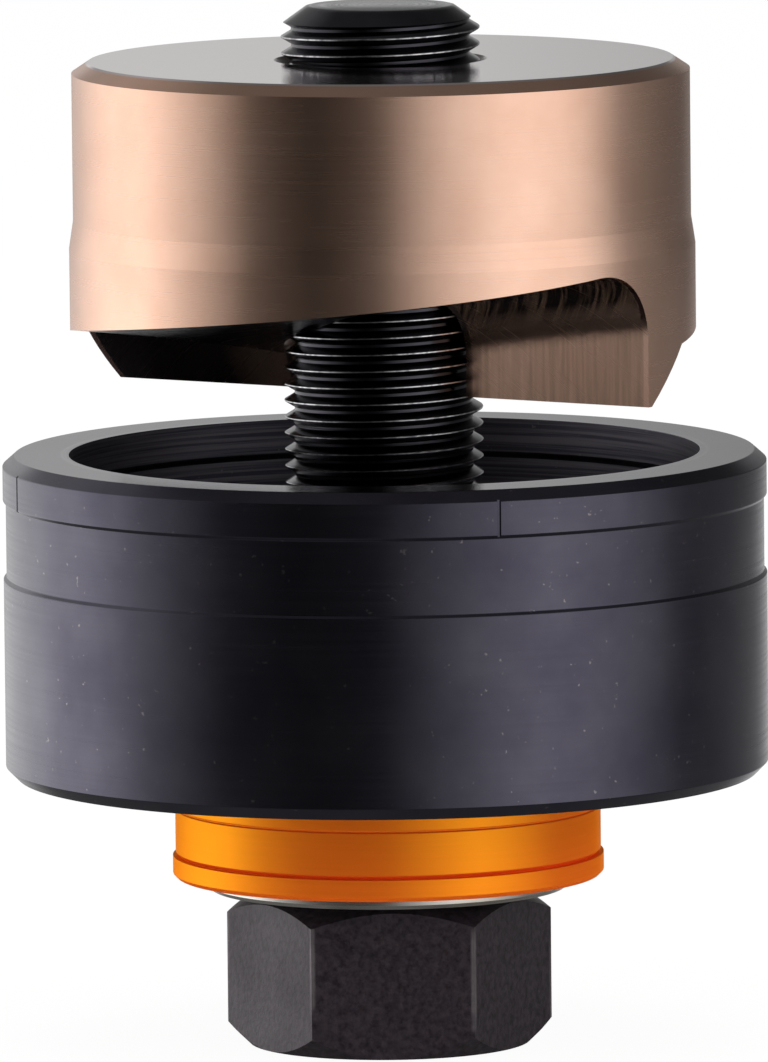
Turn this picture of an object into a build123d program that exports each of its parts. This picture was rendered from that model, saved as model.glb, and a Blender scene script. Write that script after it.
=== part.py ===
from build123d import *

import os
from math import atan, cos, degrees, pi, radians, sin, tan

# Knockout punch with a ball thrust bearing, for a 60 mm round hole in sheet metal.
# The drive screw stands on its hexagon head and runs up through the bearing, the
# die and the punch. Turning the head pulls the punch down into the die.
# Millimetres, +Z up, origin at the middle of the head's underside.

# Hole and punch
hole_diameter = 60.0
punch_height = 32.05
punch_body_relief = 0.4
punch_land_height = 14.25
punch_flare_height = 2.6
punch_top_chamfer_radial = 1.6
punch_top_chamfer_axial = 1.06
punch_bore_chamfer = 0.6

# Shear face of the punch: two cutting tips at the ends of one straight ridge, and
# a helical shear edge that climbs from the foot of one tip to the root of the other
ridge_heading = -32.5
ridge_width = 0.6
shear_lead = 17.9
shear_low_rise = 4.64
shear_dish_angle = 4.8
root_fillet_radius = 6.5
flank_angle = 37.0

# Gap for the sheet between the die and the cutting tips, as the tool is shown
sheet_gap = 5.69

# Die
die_wall = 6.39
die_height = 31.0
die_clearance = 0.27
die_land_depth = 3.3
die_land_relief = 0.6
die_floor_thickness = 10.0
die_floor_fillet = 2.0
die_top_chamfer_radial = 1.17
die_top_chamfer_axial = 1.03
die_foot_chamfer = 1.1
die_collar_height = 4.26
die_band_height = 7.6
die_band_depth = 0.28
die_hole_chamfer = 0.8

# Drive screw, 3/4-16 UNF, drawn without its thread
thread_diameter = 19.05
thread_clearance = 0.05
screw_hole_clearance = 0.3
screw_end_radius = 7.05
screw_end_chamfer = 1.78
screw_projection = 5.2
head_across_flats = 27.0
head_height = 15.0
head_turn = 1.4
head_foot_angle = 44.0
head_crown_radius = 12.2
head_crown_angle = 34.8
head_chamfer_swell = 0.06

# Thrust ball bearing
bearing_bore = 20.0
bearing_diameter = 35.0
bearing_height = 10.0
race_bore_play = 0.5
race_chamfer = 0.4
seat_play = 0.02
collar_chamfer = 0.4
ball_count = 14
ball_oversize = 1.0125
ball_play = 0.06
raceway_radius_ratio = 0.535
raceway_depth_ratio = 0.2
cage_thickness = 1.6
cage_web = 0.5
cage_pocket_play = 0.15

# Bearing housing
housing_wall = 2.96
housing_web = 1.06
housing_height = 9.9
housing_rim_height = 2.14
housing_rim_step = 0.27
housing_groove_depth = 0.35
housing_line_drop = 3.2
housing_line_depth = 0.12
housing_chamfer = 0.4
housing_running_play = 0.4

# How far each cutter runs past the faces that it cuts
cutter_overrun = 1.0

# Levels along the axis
bearing_base = head_height
bearing_top = bearing_base + bearing_height
die_base = bearing_top + housing_web
die_top = die_base + die_height
die_floor = die_base + die_floor_thickness
tip_level = die_top + sheet_gap
punch_top = tip_level + punch_height
screw_top = punch_top + screw_projection

# Radii that mating pieces share
land_radius = hole_diameter / 2
punch_radius = land_radius - punch_body_relief
die_bore_radius = land_radius + die_clearance
die_radius = die_bore_radius + die_wall
thread_radius = thread_diameter / 2
punch_bore_radius = thread_radius + thread_clearance
die_hole_radius = thread_radius + screw_hole_clearance
race_radius = bearing_diameter / 2
collar_radius = bearing_bore / 2 - seat_play
upper_bore_radius = bearing_bore / 2 + race_bore_play
housing_radius = race_radius + housing_wall
housing_base = die_base - housing_height

# Bearing sizes that follow from the width of its races. Each ball is half that width
# plus the oversize.
race_width = (bearing_diameter - bearing_bore) / 2
pitch_radius = (bearing_diameter + bearing_bore) / 4
ball_diameter = race_width / 2 + ball_oversize
ball_radius = ball_diameter / 2
ball_level = bearing_base + bearing_height / 2
raceway_radius = raceway_radius_ratio * ball_diameter
raceway_depth = raceway_depth_ratio * ball_diameter
race_thickness = bearing_height / 2 - ball_radius - ball_play + raceway_depth
cage_width = ball_diameter + 2 * cage_web


def lathe(*points):
    """Solid turned about Z from the (radius, height) corners of half its section."""
    return revolve(make_face(Polyline(*[(r, 0, z) for r, z in points], close=True)), Axis.Z)


def block(x_low, x_high, y_low, y_high, z_low, z_high):
    """Box between two corners."""
    middle = Pos((x_low + x_high) / 2, (y_low + y_high) / 2, (z_low + z_high) / 2)
    return middle * Box(x_high - x_low, y_high - y_low, z_high - z_low)


def helical_wedge(lead, start_angle, turn, start_level, thickness, dish_angle=0.0):
    """Sector whose face climbs about Z and dips this much towards Z, with material above or below."""
    reach = 1.5 * land_radius
    core = punch_bore_radius / 4
    inner = (core - land_radius) * tan(radians(dish_angle))
    outer = (reach - land_radius) * tan(radians(dish_angle))
    path = Helix(lead, lead * turn / 360, (core + reach) / 2)
    corners = [(core, 0, inner), (reach, 0, outer), (reach, 0, thickness), (core, 0, thickness)]
    section = make_face(Polyline(*corners, close=True))
    return Pos(0, 0, start_level) * Rot(0, 0, start_angle) * sweep(section, path=path, is_frenet=True)


def shear_cutter():
    """What the mill takes from under one half of the punch, ridge along X, this half at -Y."""
    margin = 6.0
    seam_margin = 0.6
    turn = 180 + 2 * margin
    depth = shear_low_rise + shear_lead * turn / 360 + cutter_overrun
    start_level = tip_level + shear_low_rise - shear_lead * margin / 360
    ramp = helical_wedge(shear_lead, -180 - margin, turn, start_level, -depth, shear_dish_angle)

    low = tip_level - 2 * depth
    high = tip_level + 2 * depth
    reach = 2 * land_radius
    outside = land_radius + cutter_overrun
    face_y = -ridge_width / 2
    steepest = atan(shear_lead / (2 * pi * punch_bore_radius))
    root_width = root_fillet_radius * (1 + sin(steepest)) - face_y
    seam = max(punch_bore_radius**2 - root_width**2, 0) ** 0.5 - seam_margin
    leading = (ramp & block(seam, outside, -reach, face_y, low, high)).solid()
    root = [
        edge
        for edge in leading.edges()
        if abs(edge.center().Y - face_y) < 0.001
        and edge.center().Z > tip_level
        and abs(edge.tangent_at(0.5).Z) < 0.5
    ]
    leading = fillet(root, root_fillet_radius)

    flank_lead = 2 * pi * land_radius * tan(radians(flank_angle))
    flank_start = -180 + degrees(ridge_width / 2 / land_radius)
    flank_level = tip_level - flank_lead * margin / 360
    flank = helical_wedge(flank_lead, flank_start - margin, 5 * margin, flank_level, depth)
    trailing = ramp & block(-outside, seam, -reach, 0, low, high)
    return leading, trailing - flank


def make_punch():
    """Turned steel punch with a tapped bore and a milled two-point shear face."""
    flare_base = tip_level + punch_land_height
    body = lathe(
        (0, tip_level),
        (land_radius, tip_level),
        (land_radius, flare_base),
        (punch_radius, flare_base + punch_flare_height),
        (punch_radius, punch_top - punch_top_chamfer_axial),
        (punch_radius - punch_top_chamfer_radial, punch_top),
        (0, punch_top),
    )
    for cutter in shear_cutter():
        body = body - cutter - Rot(0, 0, 180) * cutter
    mouth = punch_bore_radius + punch_bore_chamfer
    bore = lathe(
        (0, tip_level - cutter_overrun),
        (punch_bore_radius, tip_level - cutter_overrun),
        (punch_bore_radius, punch_top - punch_bore_chamfer),
        (mouth, punch_top),
        (mouth, punch_top + cutter_overrun),
        (0, punch_top + cutter_overrun),
    )
    return Rot(0, 0, ridge_heading) * (body - bore)


def make_die():
    """Cup-shaped cutting die: a sharp land at the mouth, relieved below, and a thick floor."""
    foot = die_radius - die_foot_chamfer
    band_top = die_top - die_collar_height
    band_base = band_top - die_band_height
    band_radius = die_radius - die_band_depth
    land_base = die_top - die_land_depth
    relief_radius = die_bore_radius + die_land_relief
    body = lathe(
        (0, die_base),
        (foot, die_base),
        (die_radius, die_base + die_foot_chamfer),
        (die_radius, band_base),
        (band_radius, band_base + die_band_depth),
        (band_radius, band_top - die_band_depth),
        (die_radius, band_top),
        (die_radius, die_top - die_top_chamfer_axial),
        (die_radius - die_top_chamfer_radial, die_top),
        (0, die_top),
    )
    cavity = lathe(
        (0, die_floor),
        (relief_radius, die_floor),
        (relief_radius, land_base - die_land_relief),
        (die_bore_radius, land_base),
        (die_bore_radius, die_top + cutter_overrun),
        (0, die_top + cutter_overrun),
    )
    corner = cavity.edges().filter_by(GeomType.CIRCLE).group_by(Axis.Z)[0]
    cavity = fillet(corner, die_floor_fillet)
    mouth = die_hole_radius + die_hole_chamfer
    hole = lathe(
        (0, die_base - cutter_overrun),
        (die_hole_radius, die_base - cutter_overrun),
        (die_hole_radius, die_floor - die_hole_chamfer),
        (mouth, die_floor),
        (mouth, die_floor + cutter_overrun),
        (0, die_floor + cutter_overrun),
    )
    return body - cavity - hole


def make_drive_screw():
    """Hexagon head, bearing collar and shank in one piece of hardened steel."""
    corner_radius = head_across_flats / 2 / cos(radians(30))
    foot_radius = head_across_flats / 2
    outside = corner_radius + cutter_overrun
    foot_top = (outside - foot_radius) * tan(radians(head_foot_angle))
    crown_base = head_height - (outside - head_crown_radius) * tan(radians(head_crown_angle))
    envelope = [
        Line((0, 0), (foot_radius, 0)),
        SagittaArc((foot_radius, 0), (outside, foot_top), -head_chamfer_swell),
        Line((outside, foot_top), (outside, crown_base)),
        SagittaArc((outside, crown_base), (head_crown_radius, head_height), -head_chamfer_swell),
        Polyline((head_crown_radius, head_height), (0, head_height), (0, 0)),
    ]
    head = Rot(0, 0, head_turn) * extrude(RegularPolygon(corner_radius, 6), amount=head_height)
    head = head & revolve(Plane.XZ * make_face(envelope), Axis.Z)
    collar_step = collar_radius - thread_radius
    shank = lathe(
        (0, head_height),
        (collar_radius, head_height),
        (collar_radius, bearing_top + collar_chamfer - collar_step),
        (thread_radius, bearing_top + collar_chamfer),
        (thread_radius, screw_top - screw_end_chamfer),
        (screw_end_radius, screw_top),
        (0, screw_top),
    )
    return head + shank


def raceway(level):
    """Ring-shaped groove that the balls roll in, with its section centred at this height."""
    return Pos(0, 0, level) * Torus(pitch_radius, raceway_radius)


def race_blank(bore_radius, base):
    """Plain washer with broken edges, before its raceway is ground."""
    edge = race_chamfer
    top = base + race_thickness
    return lathe(
        (bore_radius + edge, base),
        (race_radius - edge, base),
        (race_radius, base + edge),
        (race_radius, top - edge),
        (race_radius - edge, top),
        (bore_radius + edge, top),
        (bore_radius, top - edge),
        (bore_radius, base + edge),
    )


def make_lower_race():
    """Bearing washer that stands on the head and turns with the screw."""
    groove_level = ball_level - ball_radius - ball_play + raceway_radius
    return race_blank(bearing_bore / 2, bearing_base) - raceway(groove_level)


def make_upper_race():
    """Bearing washer held in the housing, with a bore that clears the screw."""
    groove_level = ball_level + ball_radius + ball_play - raceway_radius
    return race_blank(upper_bore_radius, bearing_top - race_thickness) - raceway(groove_level)


def make_ball_cage():
    """Flat ring with one pocket for each ball."""
    ring = Cylinder(pitch_radius + cage_width / 2, cage_thickness)
    ring = ring - Cylinder(pitch_radius - cage_width / 2, cage_thickness)
    pocket = Cylinder(ball_radius + cage_pocket_play, 2 * cage_thickness)
    pockets = [place * pocket for place in PolarLocations(pitch_radius, ball_count)]
    return Pos(0, 0, ball_level) * (ring - pockets)


def make_bearing_housing():
    """Turned aluminium cap: web over the bearing, grooved wall, proud rim at the mouth."""
    rim_radius = housing_radius + housing_rim_step
    rim_top = housing_base + housing_rim_height
    groove_radius = housing_radius - housing_groove_depth
    line_level = die_base - housing_line_drop
    line_radius = housing_radius - housing_line_depth
    seat_radius = race_radius + seat_play
    running_radius = race_radius + housing_running_play
    seat_base = bearing_top - race_thickness
    return lathe(
        (running_radius, housing_base),
        (rim_radius - housing_chamfer, housing_base),
        (rim_radius, housing_base + housing_chamfer),
        (rim_radius, rim_top),
        (groove_radius, rim_top),
        (housing_radius, rim_top + housing_groove_depth),
        (housing_radius, line_level - housing_line_depth),
        (line_radius, line_level),
        (housing_radius, line_level + housing_line_depth),
        (housing_radius, die_base - housing_chamfer),
        (housing_radius - housing_chamfer, die_base),
        (upper_bore_radius, die_base),
        (upper_bore_radius, bearing_top),
        (seat_radius, bearing_top),
        (seat_radius, seat_base),
        (running_radius, seat_base),
    )


parts = {
    "punch": make_punch(),
    "die": make_die(),
    "drive_screw": make_drive_screw(),
    "bearing_housing": make_bearing_housing(),
    "upper_race": make_upper_race(),
    "ball_cage": make_ball_cage(),
    "lower_race": make_lower_race(),
}
for number, place in enumerate(PolarLocations(pitch_radius, ball_count), start=1):
    parts[f"ball_{number:02d}"] = Pos(0, 0, ball_level) * place * Sphere(ball_radius)

os.makedirs("parts", exist_ok=True)
for name, solid in parts.items():
    export_step(solid, f"parts/{name}.step")
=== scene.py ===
from math import cos, pi, radians, sin, tan

import bpy
from mathutils import Matrix, Vector


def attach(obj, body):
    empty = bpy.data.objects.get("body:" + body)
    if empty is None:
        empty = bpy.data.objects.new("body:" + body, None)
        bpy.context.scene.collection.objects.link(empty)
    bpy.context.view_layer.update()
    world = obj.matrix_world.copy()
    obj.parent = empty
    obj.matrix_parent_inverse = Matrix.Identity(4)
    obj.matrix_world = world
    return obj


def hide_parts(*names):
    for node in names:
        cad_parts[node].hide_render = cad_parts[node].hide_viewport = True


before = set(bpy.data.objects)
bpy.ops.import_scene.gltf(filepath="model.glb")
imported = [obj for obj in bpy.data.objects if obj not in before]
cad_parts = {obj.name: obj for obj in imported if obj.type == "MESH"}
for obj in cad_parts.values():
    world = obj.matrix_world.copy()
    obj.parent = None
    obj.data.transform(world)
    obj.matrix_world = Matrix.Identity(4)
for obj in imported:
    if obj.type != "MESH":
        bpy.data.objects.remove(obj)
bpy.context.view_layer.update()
scene = bpy.context.scene
scene.view_settings.view_transform = "Standard"


# The room. A pale floor that fades into white, as on a sweep of paper, and white all
# round for what the eye, the metal and the glass see. Everything else gets soft light.
def node(tree, kind, inputs=None, **settings):
    """A shader node with its settings, and with numbers, colours or links in its inputs."""
    made = tree.nodes.new(kind)
    for name, value in settings.items():
        setattr(made, name, value)
    for name, value in (inputs or {}).items():
        if isinstance(value, bpy.types.NodeSocket):
            tree.links.new(value, made.inputs[name])
        else:
            made.inputs[name].default_value = value
    return made


def times(tree, first, second):
    """The product of two numbers."""
    product = node(tree, "ShaderNodeMath", {0: first, 1: second}, operation="MULTIPLY")
    return product.outputs[0]


def spread(tree, value, low, high, start=0.3, end=0.7):
    """Takes a value from where it starts and ends to a range of its own."""
    given = {"Value": value, "From Min": start, "From Max": end, "To Min": low, "To Max": high}
    return node(tree, "ShaderNodeMapRange", given).outputs[0]


def seen_directly(tree):
    """1 for what is seen straight, mirrored or through glass, and 0 for what only gives light."""
    path = node(tree, "ShaderNodeLightPath")
    mirrored = node(
        tree,
        "ShaderNodeMath",
        {0: path.outputs["Is Camera Ray"], 1: path.outputs["Is Glossy Ray"]},
        operation="ADD",
    )
    clear = node(
        tree,
        "ShaderNodeMath",
        {0: mirrored.outputs[0], 1: path.outputs["Is Transmission Ray"]},
        operation="ADD",
        use_clamp=True,
    )
    return clear.outputs[0]


soft_light = 0.9
world = bpy.data.worlds.new("white_room")
scene.world = world
world.use_nodes = True
room = world.node_tree
room.nodes.clear()
level = spread(room, seen_directly(room), soft_light, 1.0, start=0, end=1)
white = node(room, "ShaderNodeBackground", {"Color": (1, 1, 1, 1), "Strength": level})
node(room, "ShaderNodeOutputWorld", {"Surface": white.outputs[0]})

floor_size = 8.0
floor_gap = 0.00005
bpy.ops.object.select_all(action="DESELECT")
bpy.ops.mesh.primitive_plane_add(size=floor_size, location=(0, 0, -floor_gap))
floor = bpy.context.object
floor.name = "floor"
bpy.ops.object.transform_apply(location=True, rotation=False, scale=False)
paper = bpy.data.materials.new("white_paper")
paper.use_nodes = True
tree = paper.node_tree
tree.nodes.clear()
matt = node(tree, "ShaderNodeBsdfDiffuse", {"Color": (0.85, 0.85, 0.85, 1)})
glow = node(tree, "ShaderNodeEmission", {"Color": (1, 1, 1, 1), "Strength": 1.0})
glow_share = 0.95
share = times(tree, seen_directly(tree), glow_share)
mixed = node(tree, "ShaderNodeMixShader", {0: share, 1: matt.outputs[0], 2: glow.outputs[0]})
node(tree, "ShaderNodeOutputMaterial", {"Surface": mixed.outputs[0]})
floor.data.materials.append(paper)


# The studio's flats: a ring of paper round the object that only its polished metal sees.
# They are bright at the left and at the front's right, black at the front's left and dim
# behind on the right, brighter low down and dim above the object, as its bands show.
flats_radius = 0.30
flats_height = 1.2
bpy.ops.object.select_all(action="DESELECT")
bpy.ops.mesh.primitive_cylinder_add(
    vertices=96,
    radius=flats_radius,
    depth=flats_height,
    end_fill_type="NGON",
    location=(0, 0, 0),
)
flats = bpy.context.object
flats.name = "studio_flats"
grey_paper = bpy.data.materials.new("studio_flats")
grey_paper.use_nodes = True
tree = grey_paper.node_tree
tree.nodes.clear()
where = node(tree, "ShaderNodeTexCoord").outputs["Object"]
axes = node(tree, "ShaderNodeSeparateXYZ", {0: where})
height = axes.outputs["Z"]
behind = times(tree, axes.outputs["Y"], -1.0)
turn = node(tree, "ShaderNodeMath", {0: axes.outputs["X"], 1: behind}, operation="ARCTAN2")
part_turn = spread(tree, turn.outputs[0], 0, 1, start=-pi, end=pi)
brightest_tone = 2.2


def tones_by_bearing(steps):
    """A ramp over the bearing that takes these tones at these bearings, in degrees."""
    bands = node(tree, "ShaderNodeValToRGB", {0: part_turn})
    stops = bands.color_ramp.elements
    for bearing, _ in steps[1:-1]:
        stops.new((bearing + 180) / 360)
    for stop, (_, tone) in zip(stops, steps):
        share = tone / brightest_tone
        stop.color = (share, share, share, 1)
    return bands.outputs[0]


def between(tree, share, first, second):
    """A number between two others."""
    mixed = node(tree, "ShaderNodeMix", {"Factor": share, "A": first, "B": second})
    return mixed.outputs["Result"]


high = tones_by_bearing(
    [
        (-180, 0.46), (-168, 0.48), (-144, 0.78), (-120, 1.28), (-96, 1.40), (-72, 0.72),
        (-48, 0.08), (-24, 0.01), (0, 0.08), (24, 0.78), (48, 1.20), (72, 1.12), (96, 0.23),
        (120, 0.14), (144, 0.10), (168, 0.30), (180, 0.46),
    ]
)
low = tones_by_bearing(
    [
        (-180, 0.80), (-168, 0.73), (-144, 1.28), (-120, 2.00), (-96, 2.00), (-72, 0.62),
        (-48, 0.10), (-24, 0.05), (0, 0.06), (24, 0.72), (48, 1.55), (72, 0.85), (96, 0.18),
        (120, 0.24), (144, 0.32), (168, 0.95), (180, 0.80),
    ]
)
high_share = spread(tree, height, 0, 1, start=0.012, end=0.045)
painted = between(tree, high_share, low, high)
rise = spread(tree, height, brightest_tone, 1.35 * brightest_tone, start=0.07, end=0.14)
fall = spread(tree, height, 1.0, 0.4, start=0.145, end=0.17)
wall = times(tree, painted, times(tree, rise, fall))
ceiling_tone = 0.13
ceiling_share = spread(tree, height, 0, 1, start=0.30, end=0.50)
above = between(tree, ceiling_share, wall, ceiling_tone)
ground_tone = 0.16
ground_share = spread(tree, height, 0, 1, start=-0.04, end=-0.12)
tone = between(tree, ground_share, above, ground_tone)
light = node(tree, "ShaderNodeEmission", {"Color": (1, 1, 1, 1), "Strength": tone})
node(tree, "ShaderNodeOutputMaterial", {"Surface": light.outputs[0]})
flats.data.materials.append(grey_paper)
flats.visible_camera = False
flats.visible_diffuse = False
flats.visible_transmission = False
flats.visible_volume_scatter = False
flats.visible_shadow = False
floor.visible_glossy = False


# The lamps: three large soft boxes, one above each shoulder of the camera and one overhead.
object_middle = Vector((0, 0, 0.05))


def lamp(name, place, size, power):
    """A square soft box that looks at the middle of the object."""
    bpy.ops.object.light_add(type="AREA", location=place)
    box = bpy.context.object
    box.name = name
    box.data.size = size
    box.data.energy = power
    box.visible_glossy = False
    towards = object_middle - Vector(place)
    box.rotation_euler = towards.to_track_quat("-Z", "Y").to_euler()


lamp("left_box", (-0.9, -0.8, 0.9), size=0.7, power=6.0)
lamp("right_box", (0.9, -0.9, 0.7), size=0.7, power=6.0)
lamp("top_box", (0.0, 0.2, 1.3), size=0.9, power=6.0)

# The camera, far off with a long lens, a little above the object, rolled by half a degree.
image_height = 1062
sensor_height = 36
focal_pixels = 16541
camera_distance = 1.5876
camera_rise = radians(6.556)
camera_roll = radians(0.577)
look_at = Vector((-0.00011, 0, 0.04932))
camera_back = camera_distance * cos(camera_rise)
camera_up = camera_distance * sin(camera_rise)
bpy.ops.object.camera_add(location=(0, -camera_back, object_middle.z + camera_up))
camera = bpy.context.object
camera.name = "camera"
camera.data.sensor_fit = "VERTICAL"
camera.data.sensor_height = sensor_height
camera.data.lens = focal_pixels * sensor_height / image_height
camera.data.clip_start = 0.01
aim = (look_at - camera.location).to_track_quat("-Z", "Y").to_matrix()
camera.rotation_euler = (aim @ Matrix.Rotation(-camera_roll, 3, "Z")).to_euler()
scene.camera = camera


# The drive screw: one steel forging with a hexagon head, a turned collar for the bearing
# and a rolled 3/4-16 thread, blacked and oiled. The head keeps its dull forged skin.
weld = 0.000001


def outline(name, points):
    """A line of edges through (radius, height) points, drawn by extruding one corner."""
    (radius, height), *rest = points
    bpy.ops.object.select_all(action="DESELECT")
    bpy.ops.mesh.primitive_plane_add(size=0.001, location=(radius, 0, height))
    piece = bpy.context.object
    piece.name = name
    bpy.ops.object.mode_set(mode="EDIT")
    bpy.ops.mesh.select_all(action="SELECT")
    bpy.ops.mesh.merge(type="CENTER")
    for next_radius, next_height in rest:
        step = (next_radius - radius, 0, next_height - height)
        bpy.ops.mesh.extrude_region_move(TRANSFORM_OT_translate={"value": step})
        radius = next_radius
        height = next_height
    bpy.ops.object.mode_set(mode="OBJECT")
    bpy.ops.object.transform_apply(location=True, rotation=True, scale=True)
    return piece


def turned(name, points, steps=160):
    """A turned piece: half of its section, drawn as an outline and spun about the axis."""
    piece = outline(name, points)
    bpy.ops.object.mode_set(mode="EDIT")
    bpy.ops.mesh.select_all(action="SELECT")
    bpy.ops.mesh.spin(steps=steps, angle=2 * pi, center=(0, 0, 0), axis=(0, 0, 1))
    bpy.ops.mesh.select_all(action="SELECT")
    bpy.ops.mesh.remove_doubles(threshold=weld)
    bpy.ops.mesh.normals_make_consistent(inside=False)
    bpy.ops.object.mode_set(mode="OBJECT")
    return piece


def modify(piece, kind, **settings):
    """Puts a modifier on a piece and applies it."""
    bpy.ops.object.select_all(action="DESELECT")
    piece.select_set(True)
    bpy.context.view_layer.objects.active = piece
    bpy.ops.object.modifier_add(type=kind)
    modifier = piece.modifiers[-1]
    for name, value in settings.items():
        setattr(modifier, name, value)
    bpy.ops.object.modifier_apply(modifier=modifier.name)


def cut(piece, tool, operation="DIFFERENCE"):
    """Cuts a piece with a tool, or keeps what both hold, and takes the tool away."""
    modify(piece, "BOOLEAN", object=tool, operation=operation, solver="EXACT")
    bpy.data.objects.remove(tool)


def round_edges(piece, width, angle=20):
    """Breaks the sharp edges as a file does, and keeps the flats flat in the light."""
    modify(
        piece,
        "BEVEL",
        width=width,
        segments=3,
        limit_method="ANGLE",
        angle_limit=radians(angle),
        use_clamp_overlap=True,
    )
    bpy.ops.object.shade_smooth_by_angle(angle=radians(35))
    modify(piece, "WEIGHTED_NORMAL", keep_sharp=True)


head_across_flats = 0.027
head_height = 0.015
head_turn = radians(1.4)
head_corner = head_across_flats / 2 / cos(radians(30))
foot_radius = 0.0135
foot_slope = tan(radians(44))
foot_rise = (head_corner - foot_radius) * foot_slope
crown_radius = 0.0122
crown_slope = tan(radians(34.8))
crown_drop = (head_corner - crown_radius) * crown_slope
bpy.ops.object.select_all(action="DESELECT")
bpy.ops.mesh.primitive_cylinder_add(
    vertices=6,
    radius=head_corner,
    depth=head_height,
    location=(0, 0, head_height / 2),
    rotation=(0, 0, head_turn + radians(30)),
)
screw = bpy.context.object
screw.name = "hexagon_screw"
bpy.ops.object.transform_apply(location=True, rotation=True, scale=True)
slack = 0.001
crowned = turned(
    "crown_cutter",
    [
        (0, 0),
        (foot_radius, 0),
        (head_corner + slack, foot_rise + slack * foot_slope),
        (head_corner + slack, head_height - crown_drop - slack * crown_slope),
        (crown_radius, head_height),
        (0, head_height),
    ],
)
cut(screw, crowned, "INTERSECT")
round_edges(screw, width=0.00022, angle=25)

pitch = 0.0254 / 16
thread_centre = 0.00099


def threaded_rod(name, crest, crest_flat, root, base, top):
    """A closed rod between two levels, with a right-hand thread of one pitch a turn."""
    half_crest = crest_flat / 2
    crest_edge = crest - 0.00004
    half_root = half_crest + (crest - root) * tan(radians(30))
    spare_turns = 3
    middle = thread_centre + pitch * (int(base / pitch) - spare_turns)
    rod = outline(
        name,
        [
            (root, middle - pitch / 2),
            (root, middle - half_root),
            (crest_edge, middle - half_crest),
            (crest, middle - half_crest / 2),
            (crest, middle + half_crest / 2),
            (crest_edge, middle + half_crest),
            (root, middle + half_root),
            (root, middle + pitch / 2),
        ],
    )
    modify(
        rod,
        "ARRAY",
        count=int((top - base) / pitch) + 2 * spare_turns,
        use_relative_offset=False,
        use_constant_offset=True,
        constant_offset_displace=(0, 0, pitch),
        use_merge_vertices=True,
        merge_threshold=weld,
    )
    modify(
        rod,
        "SCREW",
        axis="Z",
        angle=2 * pi,
        screw_offset=pitch,
        steps=96,
        render_steps=96,
        use_merge_vertices=True,
        merge_threshold=weld,
    )
    bpy.ops.object.mode_set(mode="EDIT")
    bpy.ops.mesh.select_all(action="SELECT")
    bpy.ops.mesh.remove_doubles(threshold=weld)
    # The cuts' threshold is finer than usual, because the usual one moves nearby corners.
    for height, up in ((base, -1), (top, 1)):
        bpy.ops.mesh.select_all(action="SELECT")
        bpy.ops.mesh.bisect(
            plane_co=(0, 0, height),
            plane_no=(0, 0, up),
            use_fill=True,
            clear_outer=True,
            threshold=0.0000001,
        )
    bpy.ops.mesh.select_all(action="SELECT")
    bpy.ops.mesh.normals_make_consistent(inside=False)
    bpy.ops.object.mode_set(mode="OBJECT")
    return rod


crest_radius = 0.01905 / 2
thread_depth = 0.6134 * pitch
root_radius = crest_radius - thread_depth
shank_base = 0.0250
shank_top = 0.100
tooth = threaded_rod(
    "thread",
    crest=crest_radius,
    crest_flat=pitch / 8,
    root=root_radius,
    base=shank_base,
    top=shank_top + 0.0002,
)
end_radius = 0.00705
end_bevel = 0.00178
end_slope = end_bevel / (crest_radius - end_radius)
outside = crest_radius + 0.0005
below = shank_base - 0.001
corner_start = 0.00035
corner_end = -0.00025
end_form = turned(
    "end_cutter",
    [
        (0, below),
        (outside, below),
        (outside, shank_top - (outside - end_radius) * end_slope),
        (end_radius + corner_start, shank_top - corner_start * end_slope),
        (end_radius + 0.0001, shank_top - 0.00008),
        (end_radius + corner_end, shank_top),
        (0, shank_top),
    ],
)
cut(tooth, end_form, "INTERSECT")
bpy.ops.object.select_all(action="DESELECT")
tooth.select_set(True)
bpy.ops.object.shade_smooth_by_angle(angle=radians(25))

collar_radius = 0.00998
collar_base = head_height - 0.0005
collar_shoulder = 0.02494
collar_top = 0.0254
collar = turned(
    "collar",
    [
        (0, collar_base),
        (collar_radius, collar_base),
        (collar_radius, collar_shoulder),
        (crest_radius, collar_top),
        (0, collar_top),
    ],
)
round_edges(collar, width=0.00015)


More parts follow.
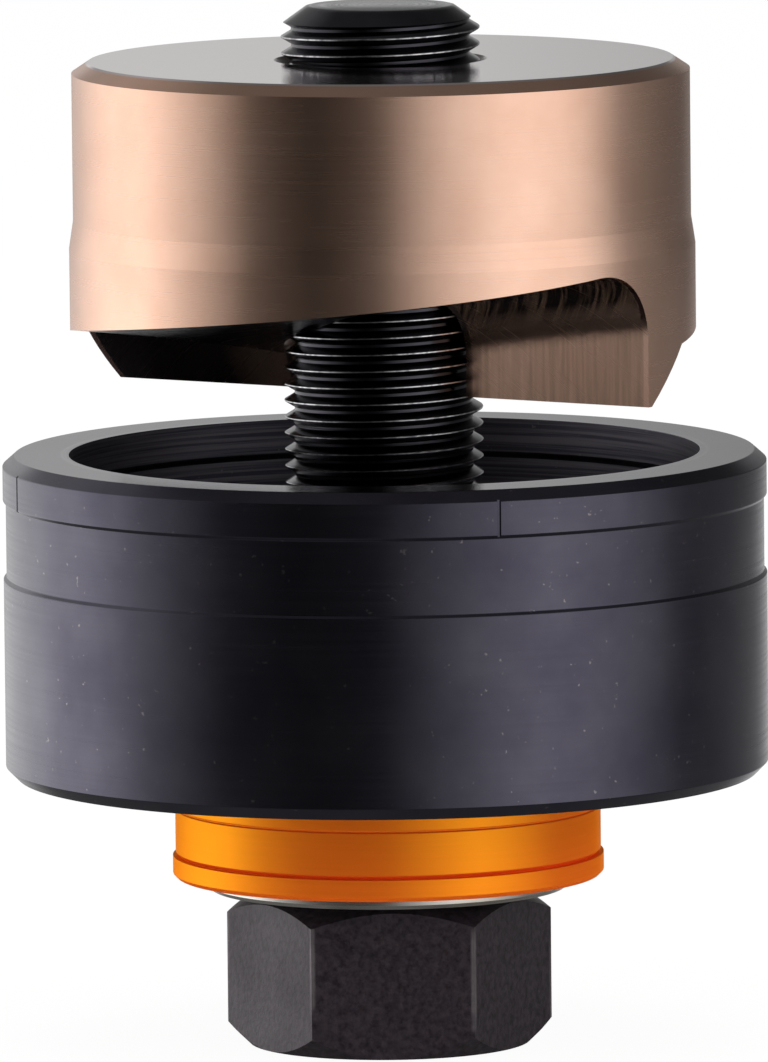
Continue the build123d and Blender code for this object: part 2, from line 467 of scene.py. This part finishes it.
def marks_group():
    """Turning lines, patches and specks, worked out from a place on the piece."""
    group = bpy.data.node_groups.new("turning_marks", "ShaderNodeTree")
    for name, kind in (("Place", "NodeSocketVector"), ("Lines per metre", "NodeSocketFloat")):
        group.interface.new_socket(name=name, in_out="INPUT", socket_type=kind)
    for name in ("Radius", "Height", "Lines", "Patches", "Specks"):
        group.interface.new_socket(name=name, in_out="OUTPUT", socket_type="NodeSocketFloat")
    given = node(group, "NodeGroupInput")
    place = given.outputs["Place"]
    axes = node(group, "ShaderNodeSeparateXYZ", {0: place})
    flat = node(group, "ShaderNodeCombineXYZ", {0: axes.outputs["X"], 1: axes.outputs["Y"]})
    radius = node(group, "ShaderNodeVectorMath", {0: flat.outputs[0]}, operation="LENGTH")
    radius_share = 0.7
    along = node(
        group,
        "ShaderNodeMath",
        {0: radius.outputs["Value"], 1: radius_share, 2: axes.outputs["Z"]},
        operation="MULTIPLY_ADD",
    )
    step = times(group, along.outputs[0], given.outputs["Lines per metre"])
    round_the_piece = node(
        group, "ShaderNodeVectorMath", {0: flat.outputs[0], "Scale": 30.0}, operation="SCALE"
    )
    drawn_out = node(
        group,
        "ShaderNodeVectorMath",
        {
            0: round_the_piece.outputs[0],
            1: node(group, "ShaderNodeCombineXYZ", {2: step}).outputs[0],
        },
        operation="ADD",
    )
    lines = node(
        group,
        "ShaderNodeTexNoise",
        {"Vector": drawn_out.outputs[0], "Scale": 1.0, "Detail": 3.0, "Roughness": 0.65},
    )
    patches = node(
        group,
        "ShaderNodeTexNoise",
        {"Vector": place, "Scale": 110.0, "Detail": 4.0, "Roughness": 0.55},
    )
    specks = node(
        group,
        "ShaderNodeTexNoise",
        {"Vector": place, "Scale": 1500.0, "Detail": 2.0, "Roughness": 0.6},
    )
    node(
        group,
        "NodeGroupOutput",
        {
            "Radius": radius.outputs["Value"],
            "Height": axes.outputs["Z"],
            "Lines": lines.outputs[0],
            "Patches": patches.outputs[0],
            "Specks": specks.outputs[0],
        },
    )
    return group


turning_marks = marks_group()


def metal(name, lines_per_metre):
    """A new metal: its nodes, its surface shader and the marks on it."""
    finish = bpy.data.materials.new(name)
    finish.use_nodes = True
    tree = finish.node_tree
    surface = tree.nodes["Principled BSDF"]
    surface.inputs["Metallic"].default_value = 1.0
    place = node(tree, "ShaderNodeTexCoord").outputs["Object"]
    marks = node(tree, "ShaderNodeGroup", node_tree=turning_marks)
    tree.links.new(place, marks.inputs["Place"])
    marks.inputs["Lines per metre"].default_value = lines_per_metre
    return finish, tree, surface, marks


def join(whole, *pieces):
    """Makes one piece of several."""
    bpy.ops.object.select_all(action="DESELECT")
    for piece in (whole, *pieces):
        piece.select_set(True)
    bpy.context.view_layer.objects.active = whole
    bpy.ops.object.join()


def blend(tree, share, first, second):
    """A colour between two others."""
    mixed = node(
        tree, "ShaderNodeMix", {"Factor": share, "A": first, "B": second}, data_type="RGBA"
    )
    return mixed.outputs["Result"]


def dent(tree, surface, height, depth):
    """Gives a surface the shallow relief of its marks, with a depth in metres."""
    bump = node(tree, "ShaderNodeBump", {"Height": height, "Distance": depth, "Strength": 1.0})
    tree.links.new(bump.outputs[0], surface.inputs["Normal"])


oiled_black, tree, surface, marks = metal("oiled_black_steel", lines_per_metre=4200)
black = blend(
    tree,
    spread(tree, marks.outputs["Patches"], 0, 1),
    (0.030, 0.030, 0.036, 1),
    (0.080, 0.076, 0.088, 1),
)
crests = times(
    tree,
    spread(tree, marks.outputs["Radius"], 0, 1, start=0.00945, end=0.00951),
    spread(tree, marks.outputs["Specks"], 0.35, 1, start=0.35, end=0.6),
)
tree.links.new(
    blend(tree, crests, black, (0.60, 0.59, 0.61, 1)),
    surface.inputs["Base Color"],
)
tree.links.new(spread(tree, marks.outputs["Lines"], 0.12, 0.26), surface.inputs["Roughness"])
dent(tree, surface, marks.outputs["Lines"], 0.00001)

forged_black, tree, surface, marks = metal("forged_black_steel", lines_per_metre=1500)
surface.inputs["Specular IOR Level"].default_value = 0.40
surface.inputs["Specular Tint"].default_value = (1.0, 0.86, 0.98, 1)
skin = blend(
    tree,
    spread(tree, marks.outputs["Specks"], 0, 1),
    (0.0060, 0.0042, 0.0058, 1),
    (0.0250, 0.0190, 0.0240, 1),
)
rubbed_corners = times(
    tree,
    spread(tree, marks.outputs["Radius"], 0, 1, start=0.01538, end=0.01550),
    spread(tree, marks.outputs["Patches"], 0.0, 0.9, start=0.45, end=0.65),
)
tree.links.new(
    blend(tree, rubbed_corners, skin, (0.20, 0.185, 0.19, 1)),
    surface.inputs["Base Color"],
)
tree.links.new(rubbed_corners, surface.inputs["Metallic"])
tree.links.new(spread(tree, marks.outputs["Patches"], 0.40, 0.52), surface.inputs["Roughness"])
dent(tree, surface, marks.outputs["Specks"], 0.00005)

screw.data.materials.append(forged_black)
tooth.data.materials.append(oiled_black)
collar.data.materials.append(oiled_black)
join(screw, tooth, collar)
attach(screw, "screw")
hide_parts("drive_screw")

# The thrust bearing: two ground races, a strip cage and its balls. All of it is bright
# steel under a film of grease. Only the lower race's edge shows, under the housing.
ground, tree, surface, marks = metal("ground_bearing_steel", lines_per_metre=6000)
tree.links.new(
    blend(
        tree,
        spread(tree, marks.outputs["Patches"], 0, 1),
        (0.50, 0.46, 0.40, 1),
        (0.68, 0.66, 0.62, 1),
    ),
    surface.inputs["Base Color"],
)
tree.links.new(spread(tree, marks.outputs["Lines"], 0.18, 0.36), surface.inputs["Roughness"])
dent(tree, surface, marks.outputs["Lines"], 0.00001)
polished, tree, surface, marks = metal("polished_ball_steel", lines_per_metre=9000)
surface.inputs["Base Color"].default_value = (0.74, 0.74, 0.73, 1)
tree.links.new(spread(tree, marks.outputs["Patches"], 0.05, 0.14), surface.inputs["Roughness"])
for name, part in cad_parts.items():
    if name.startswith("ball_") and name != "ball_cage":
        part.material_slots[0].material = polished
for name in ("lower_race", "upper_race", "ball_cage"):
    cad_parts[name].material_slots[0].material = ground

# The bearing housing: an aluminium cap, turned and anodised orange. A sharp groove runs
# above its proud rim, and a fine turned line runs below its top edge.
housing_radius = 0.02046
housing_base = 0.01616
housing_top = 0.02606
edge_bevel = 0.0004
rim_radius = 0.02073
rim_top = 0.0183
groove = 0.00035
line_level = 0.02286
line_depth = 0.00012
mouth_radius = 0.0179
seat_radius = 0.01752
seat_base = 0.0216
hole_radius = 0.0105
roof_base = 0.025
housing = turned(
    "orange_housing",
    [
        (mouth_radius, housing_base),
        (rim_radius - edge_bevel, housing_base),
        (rim_radius, housing_base + edge_bevel),
        (rim_radius, rim_top),
        (housing_radius - groove, rim_top),
        (housing_radius, rim_top + groove),
        (housing_radius, line_level - line_depth),
        (housing_radius - line_depth, line_level),
        (housing_radius, line_level + line_depth),
        (housing_radius, housing_top - edge_bevel),
        (housing_radius - edge_bevel, housing_top),
        (hole_radius, housing_top),
        (hole_radius, roof_base),
        (seat_radius, roof_base),
        (seat_radius, seat_base),
        (mouth_radius, seat_base),
        (mouth_radius, housing_base),
    ],
)
round_edges(housing, width=0.00006)
anodised, tree, surface, marks = metal("orange_anodised_aluminium", lines_per_metre=3000)
surface.inputs["Metallic"].default_value = 0.0
surface.inputs["IOR"].default_value = 5.0
surface.inputs["Specular Tint"].default_value = (1.0, 0.45, 0.01, 1)
tree.links.new(
    blend(
        tree,
        spread(tree, marks.outputs["Lines"], 0, 1),
        (0.90, 0.080, 0.014, 1),
        (0.98, 0.100, 0.018, 1),
    ),
    surface.inputs["Base Color"],
)
tree.links.new(spread(tree, marks.outputs["Patches"], 0.28, 0.34), surface.inputs["Roughness"])
dent(tree, surface, marks.outputs["Lines"], 0.000012)
housing.data.materials.append(anodised)
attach(housing, "bearing_housing")
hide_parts("bearing_housing")

# The die: a hardened steel cup, turned all over, with a recessed band round its side and
# a blue-black oxide finish. Four short lines are scribed across its collar.
die_radius = 0.03666
die_base = 0.02606
die_top = 0.05706
foot_bevel = 0.0011
rim_bevel_height = 0.00103
rim_bevel_width = 0.00117
land_radius = 0.03027
land_base = 0.05376
relief_radius = 0.03087
relief_step = 0.0006
floor_level = 0.03606
floor_round = 0.002
hole_radius = 0.009825
hole_bevel = 0.0008
band_radius = 0.03638
band_top = 0.0528
band_base = 0.0452
band_step = 0.00028
die = turned(
    "die_cup",
    [
        (hole_radius, die_base),
        (die_radius - foot_bevel, die_base),
        (die_radius, die_base + foot_bevel),
        (die_radius, band_base),
        (band_radius, band_base + band_step),
        (band_radius, band_top - band_step),
        (die_radius, band_top),
        (die_radius, die_top - rim_bevel_height),
        (die_radius - rim_bevel_width, die_top),
        (land_radius, die_top),
        (land_radius, land_base),
        (relief_radius, land_base - relief_step),
        (relief_radius, floor_level + floor_round),
        (relief_radius - relief_step, floor_level + relief_step),
        (relief_radius - floor_round, floor_level),
        (hole_radius + hole_bevel, floor_level),
        (hole_radius, floor_level - hole_bevel),
        (hole_radius, die_base),
    ],
    steps=192,
)
mark_width = 0.00028
mark_depth = 0.00036
mark_height = die_top - band_top + 0.001
first_mark = 17
bpy.ops.object.select_all(action="DESELECT")
for quarter in range(4):
    bearing = radians(first_mark + 90 * quarter)
    bpy.ops.mesh.primitive_cube_add(
        size=1,
        location=(die_radius * sin(bearing), -die_radius * cos(bearing), (band_top + die_top) / 2),
        rotation=(0, 0, bearing),
        scale=(mark_width, mark_depth, mark_height),
    )
    cut(die, bpy.context.object)
round_edges(die, width=0.00012)
blued, tree, surface, marks = metal("blue_black_oxide", lines_per_metre=2600)
cavity = spread(tree, marks.outputs["Radius"], 1, 0, start=0.0311, end=0.0313)
oxide = blend(
    tree,
    spread(tree, marks.outputs["Patches"], 0, 1),
    (0.062, 0.058, 0.080, 1),
    (0.088, 0.084, 0.106, 1),
)
bored_lines = times(
    tree, cavity, spread(tree, marks.outputs["Lines"], 0, 0.8, start=0.42, end=0.6)
)
oxide = blend(tree, bored_lines, oxide, (0.21, 0.195, 0.22, 1))
bare_specks = spread(tree, marks.outputs["Specks"], 0, 1, start=0.70, end=0.74)
tree.links.new(
    blend(tree, bare_specks, oxide, (0.19, 0.17, 0.18, 1)),
    surface.inputs["Base Color"],
)
satin = spread(tree, marks.outputs["Lines"], 0.21, 0.28)
bored_roughness = 0.48
walls = between(tree, cavity, satin, bored_roughness)
rim = spread(tree, marks.outputs["Height"], 0, 1, start=0.05701, end=0.05704)
rim_roughness = 0.13
tree.links.new(between(tree, rim, walls, rim_roughness), surface.inputs["Roughness"])
dent(tree, surface, marks.outputs["Lines"], 0.000005)
die.data.materials.append(blued)
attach(die, "die")
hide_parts("die")

# The punch: tool steel, turned outside, with its two shear ramps milled, its upright faces
# ground and its bore tapped. A thin bronze-coloured coating covers it all, though its top
# face is painted greyer as a painted reflection and its downward milled faces are painted
# dark as painted shade.
bpy.ops.object.select_all(action="DESELECT")
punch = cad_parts["punch"].copy()
punch.data = punch.data.copy()
punch.name = "bronze_punch"
scene.collection.objects.link(punch)
punch.parent = None
punch.matrix_world = Matrix.Identity(4)
punch.select_set(True)
bpy.context.view_layer.objects.active = punch
bpy.ops.object.mode_set(mode="EDIT")
bpy.ops.mesh.select_all(action="SELECT")
bpy.ops.mesh.remove_doubles(threshold=weld)
bpy.ops.object.mode_set(mode="OBJECT")
bpy.ops.mesh.customdata_custom_splitnormals_clear()
bpy.ops.object.shade_smooth_by_angle(angle=radians(8), keep_sharp_edges=False)


ridge_turn = radians(32.5)


def cutter_marks_group():
    """Where the punch's top and milled faces lie, for the top's painted reflection and the
    downward faces' painted shade, and the streaks that grinding and milling left.
    """
    group = bpy.data.node_groups.new("cutter_marks", "ShaderNodeTree")
    for name in ("Place", "Facing"):
        group.interface.new_socket(name=name, in_out="INPUT", socket_type="NodeSocketVector")
    for name in ("Top", "Bore", "Upright", "Painted shade under", "Streaks", "Arcs"):
        group.interface.new_socket(name=name, in_out="OUTPUT", socket_type="NodeSocketFloat")
    given = node(group, "NodeGroupInput")
    place = given.outputs["Place"]
    axes = node(group, "ShaderNodeSeparateXYZ", {0: place})
    facing = node(group, "ShaderNodeSeparateXYZ", {0: given.outputs["Facing"]})
    flat = node(group, "ShaderNodeCombineXYZ", {0: axes.outputs["X"], 1: axes.outputs["Y"]})
    radius = node(group, "ShaderNodeVectorMath", {0: flat.outputs[0]}, operation="LENGTH")

    def part(value, start, end):
        """How far a value has come from its start to its end, as a share."""
        return spread(group, value, 0, 1, start, end)

    # The top face, which gets a painted reflection: it is coloured greyer than the coating.
    top = part(axes.outputs["Z"], 0.0946, 0.0947)
    bore = part(radius.outputs["Value"], 0.0103, 0.0101)
    inside = part(radius.outputs["Value"], 0.0295, 0.0294)
    milled = times(group, inside, part(axes.outputs["Z"], 0.085, 0.084))
    # The downward-facing milled faces, which get painted shade.
    painted_shade_under = times(group, milled, part(facing.outputs["Z"], -0.2, -0.6))
    upright = times(group, milled, part(facing.outputs["Z"], -0.4, -0.1))
    upright_streaks = node(
        group,
        "ShaderNodeVectorMath",
        {0: place, 1: (2600, 2600, 120)},
        operation="MULTIPLY",
    )
    streaks = node(
        group,
        "ShaderNodeTexNoise",
        {"Vector": upright_streaks.outputs[0], "Scale": 1.0, "Detail": 3.0},
    )
    across = node(
        group,
        "ShaderNodeVectorMath",
        {0: place, 1: (1650, -1050, -1500)},
        operation="DOT_PRODUCT",
    )
    along = node(group, "ShaderNodeVectorMath", {0: place, "Scale": 120.0}, operation="SCALE")
    bowed = node(
        group,
        "ShaderNodeVectorMath",
        {
            0: along.outputs[0],
            1: node(group, "ShaderNodeCombineXYZ", {0: across.outputs["Value"]}).outputs[0],
        },
        operation="ADD",
    )
    waves = node(
        group,
        "ShaderNodeTexNoise",
        {"Vector": bowed.outputs[0], "Scale": 1.0, "Detail": 2.0},
    )
    squared_up = node(
        group,
        "ShaderNodeVectorRotate",
        {"Vector": place, "Angle": ridge_turn},
        rotation_type="Z_AXIS",
    )
    square = node(group, "ShaderNodeSeparateXYZ", {0: squared_up.outputs[0]})
    quadrant = times(group, square.outputs["X"], square.outputs["Y"])
    behind_tip = part(quadrant, 0.0, -0.000001)
    from_ridge = node(group, "ShaderNodeMath", {0: square.outputs["Y"]}, operation="ABSOLUTE")
    root = times(group, behind_tip, part(from_ridge.outputs[0], 0.0065, 0.0035))
    arcs_on_painted_shade = times(group, root, part(waves.outputs[0], 0.45, 0.63))
    node(
        group,
        "NodeGroupOutput",
        {
            "Top": top,
            "Bore": bore,
            "Upright": upright,
            "Painted shade under": painted_shade_under,
            "Streaks": streaks.outputs[0],
            "Arcs": arcs_on_painted_shade,
        },
    )
    return group


bronze, tree, surface, marks = metal("bronze_coating", lines_per_metre=3200)
cuts = node(tree, "ShaderNodeGroup", node_tree=cutter_marks_group())
coordinates = node(tree, "ShaderNodeTexCoord")
tree.links.new(coordinates.outputs["Object"], cuts.inputs["Place"])
tree.links.new(coordinates.outputs["Normal"], cuts.inputs["Facing"])
coated = blend(
    tree,
    spread(tree, marks.outputs["Patches"], 0, 1),
    (0.77, 0.478, 0.352, 1),
    (0.86, 0.560, 0.425, 1),
)
# The top face is painted a pinkish grey, not bronze: a painted reflection of how it looks at a
# grazing view.
coated_with_painted_top_reflection = blend(tree, cuts.outputs["Top"], coated, (0.80, 0.72, 0.72, 1))
# The downward milled faces are painted near-black brown as painted shade; the lighter arcs on them
# are real cutter marks.
arcs_on_painted_shade = blend(tree, cuts.outputs["Arcs"], (0.026, 0.019, 0.018, 1), (0.28, 0.175, 0.12, 1))
milled = blend(tree, cuts.outputs["Painted shade under"], coated_with_painted_top_reflection, arcs_on_painted_shade)
bored = blend(tree, cuts.outputs["Bore"], milled, (0.10, 0.075, 0.065, 1))
streak_share = times(
    tree, cuts.outputs["Upright"], spread(tree, cuts.outputs["Streaks"], 0.45, 1.0)
)
tree.links.new(
    blend(tree, streak_share, bored, (0.46, 0.29, 0.215, 1)),
    surface.inputs["Base Color"],
)
satin = spread(tree, marks.outputs["Lines"], 0.25, 0.28)
top_roughness = 0.12
tree.links.new(
    between(tree, cuts.outputs["Top"], satin, top_roughness), surface.inputs["Roughness"]
)
# The downward milled faces are also made less metallic, which darkens them further as painted
# shade.
tree.links.new(
    spread(tree, cuts.outputs["Painted shade under"], 1, 0.8, start=0, end=1), surface.inputs["Metallic"]
)
relief = between(tree, cuts.outputs["Upright"], marks.outputs["Lines"], cuts.outputs["Streaks"])
dent(tree, surface, relief, 0.000003)
tap = threaded_rod(
    "tap", crest=0.00956, crest_flat=0.000218, root=0.00875, base=0.0805, top=0.0955
)
bore_radius = 0.009575
thread_base = 0.0815
thread_top = 0.09419
thread_inside = 0.0085
thread_outside = 0.0097
thread_shoulder = 0.0939
sunk_base = thread_base + thread_outside - thread_inside
sunk_top = thread_top - (bore_radius - thread_inside)
tapped = turned(
    "tapped_thread",
    [
        (thread_inside, sunk_base),
        (thread_outside, thread_base),
        (thread_outside, thread_shoulder),
        (bore_radius, thread_top),
        (thread_inside, sunk_top),
        (thread_inside, sunk_base),
    ],
    steps=96,
)
cut(tapped, tap)
bpy.ops.object.shade_smooth_by_angle(angle=radians(25))
tapped.data.materials.append(bronze)
punch.data.materials.clear()
punch.data.materials.append(bronze)
join(punch, tapped)
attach(punch, "punch")
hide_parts("punch")
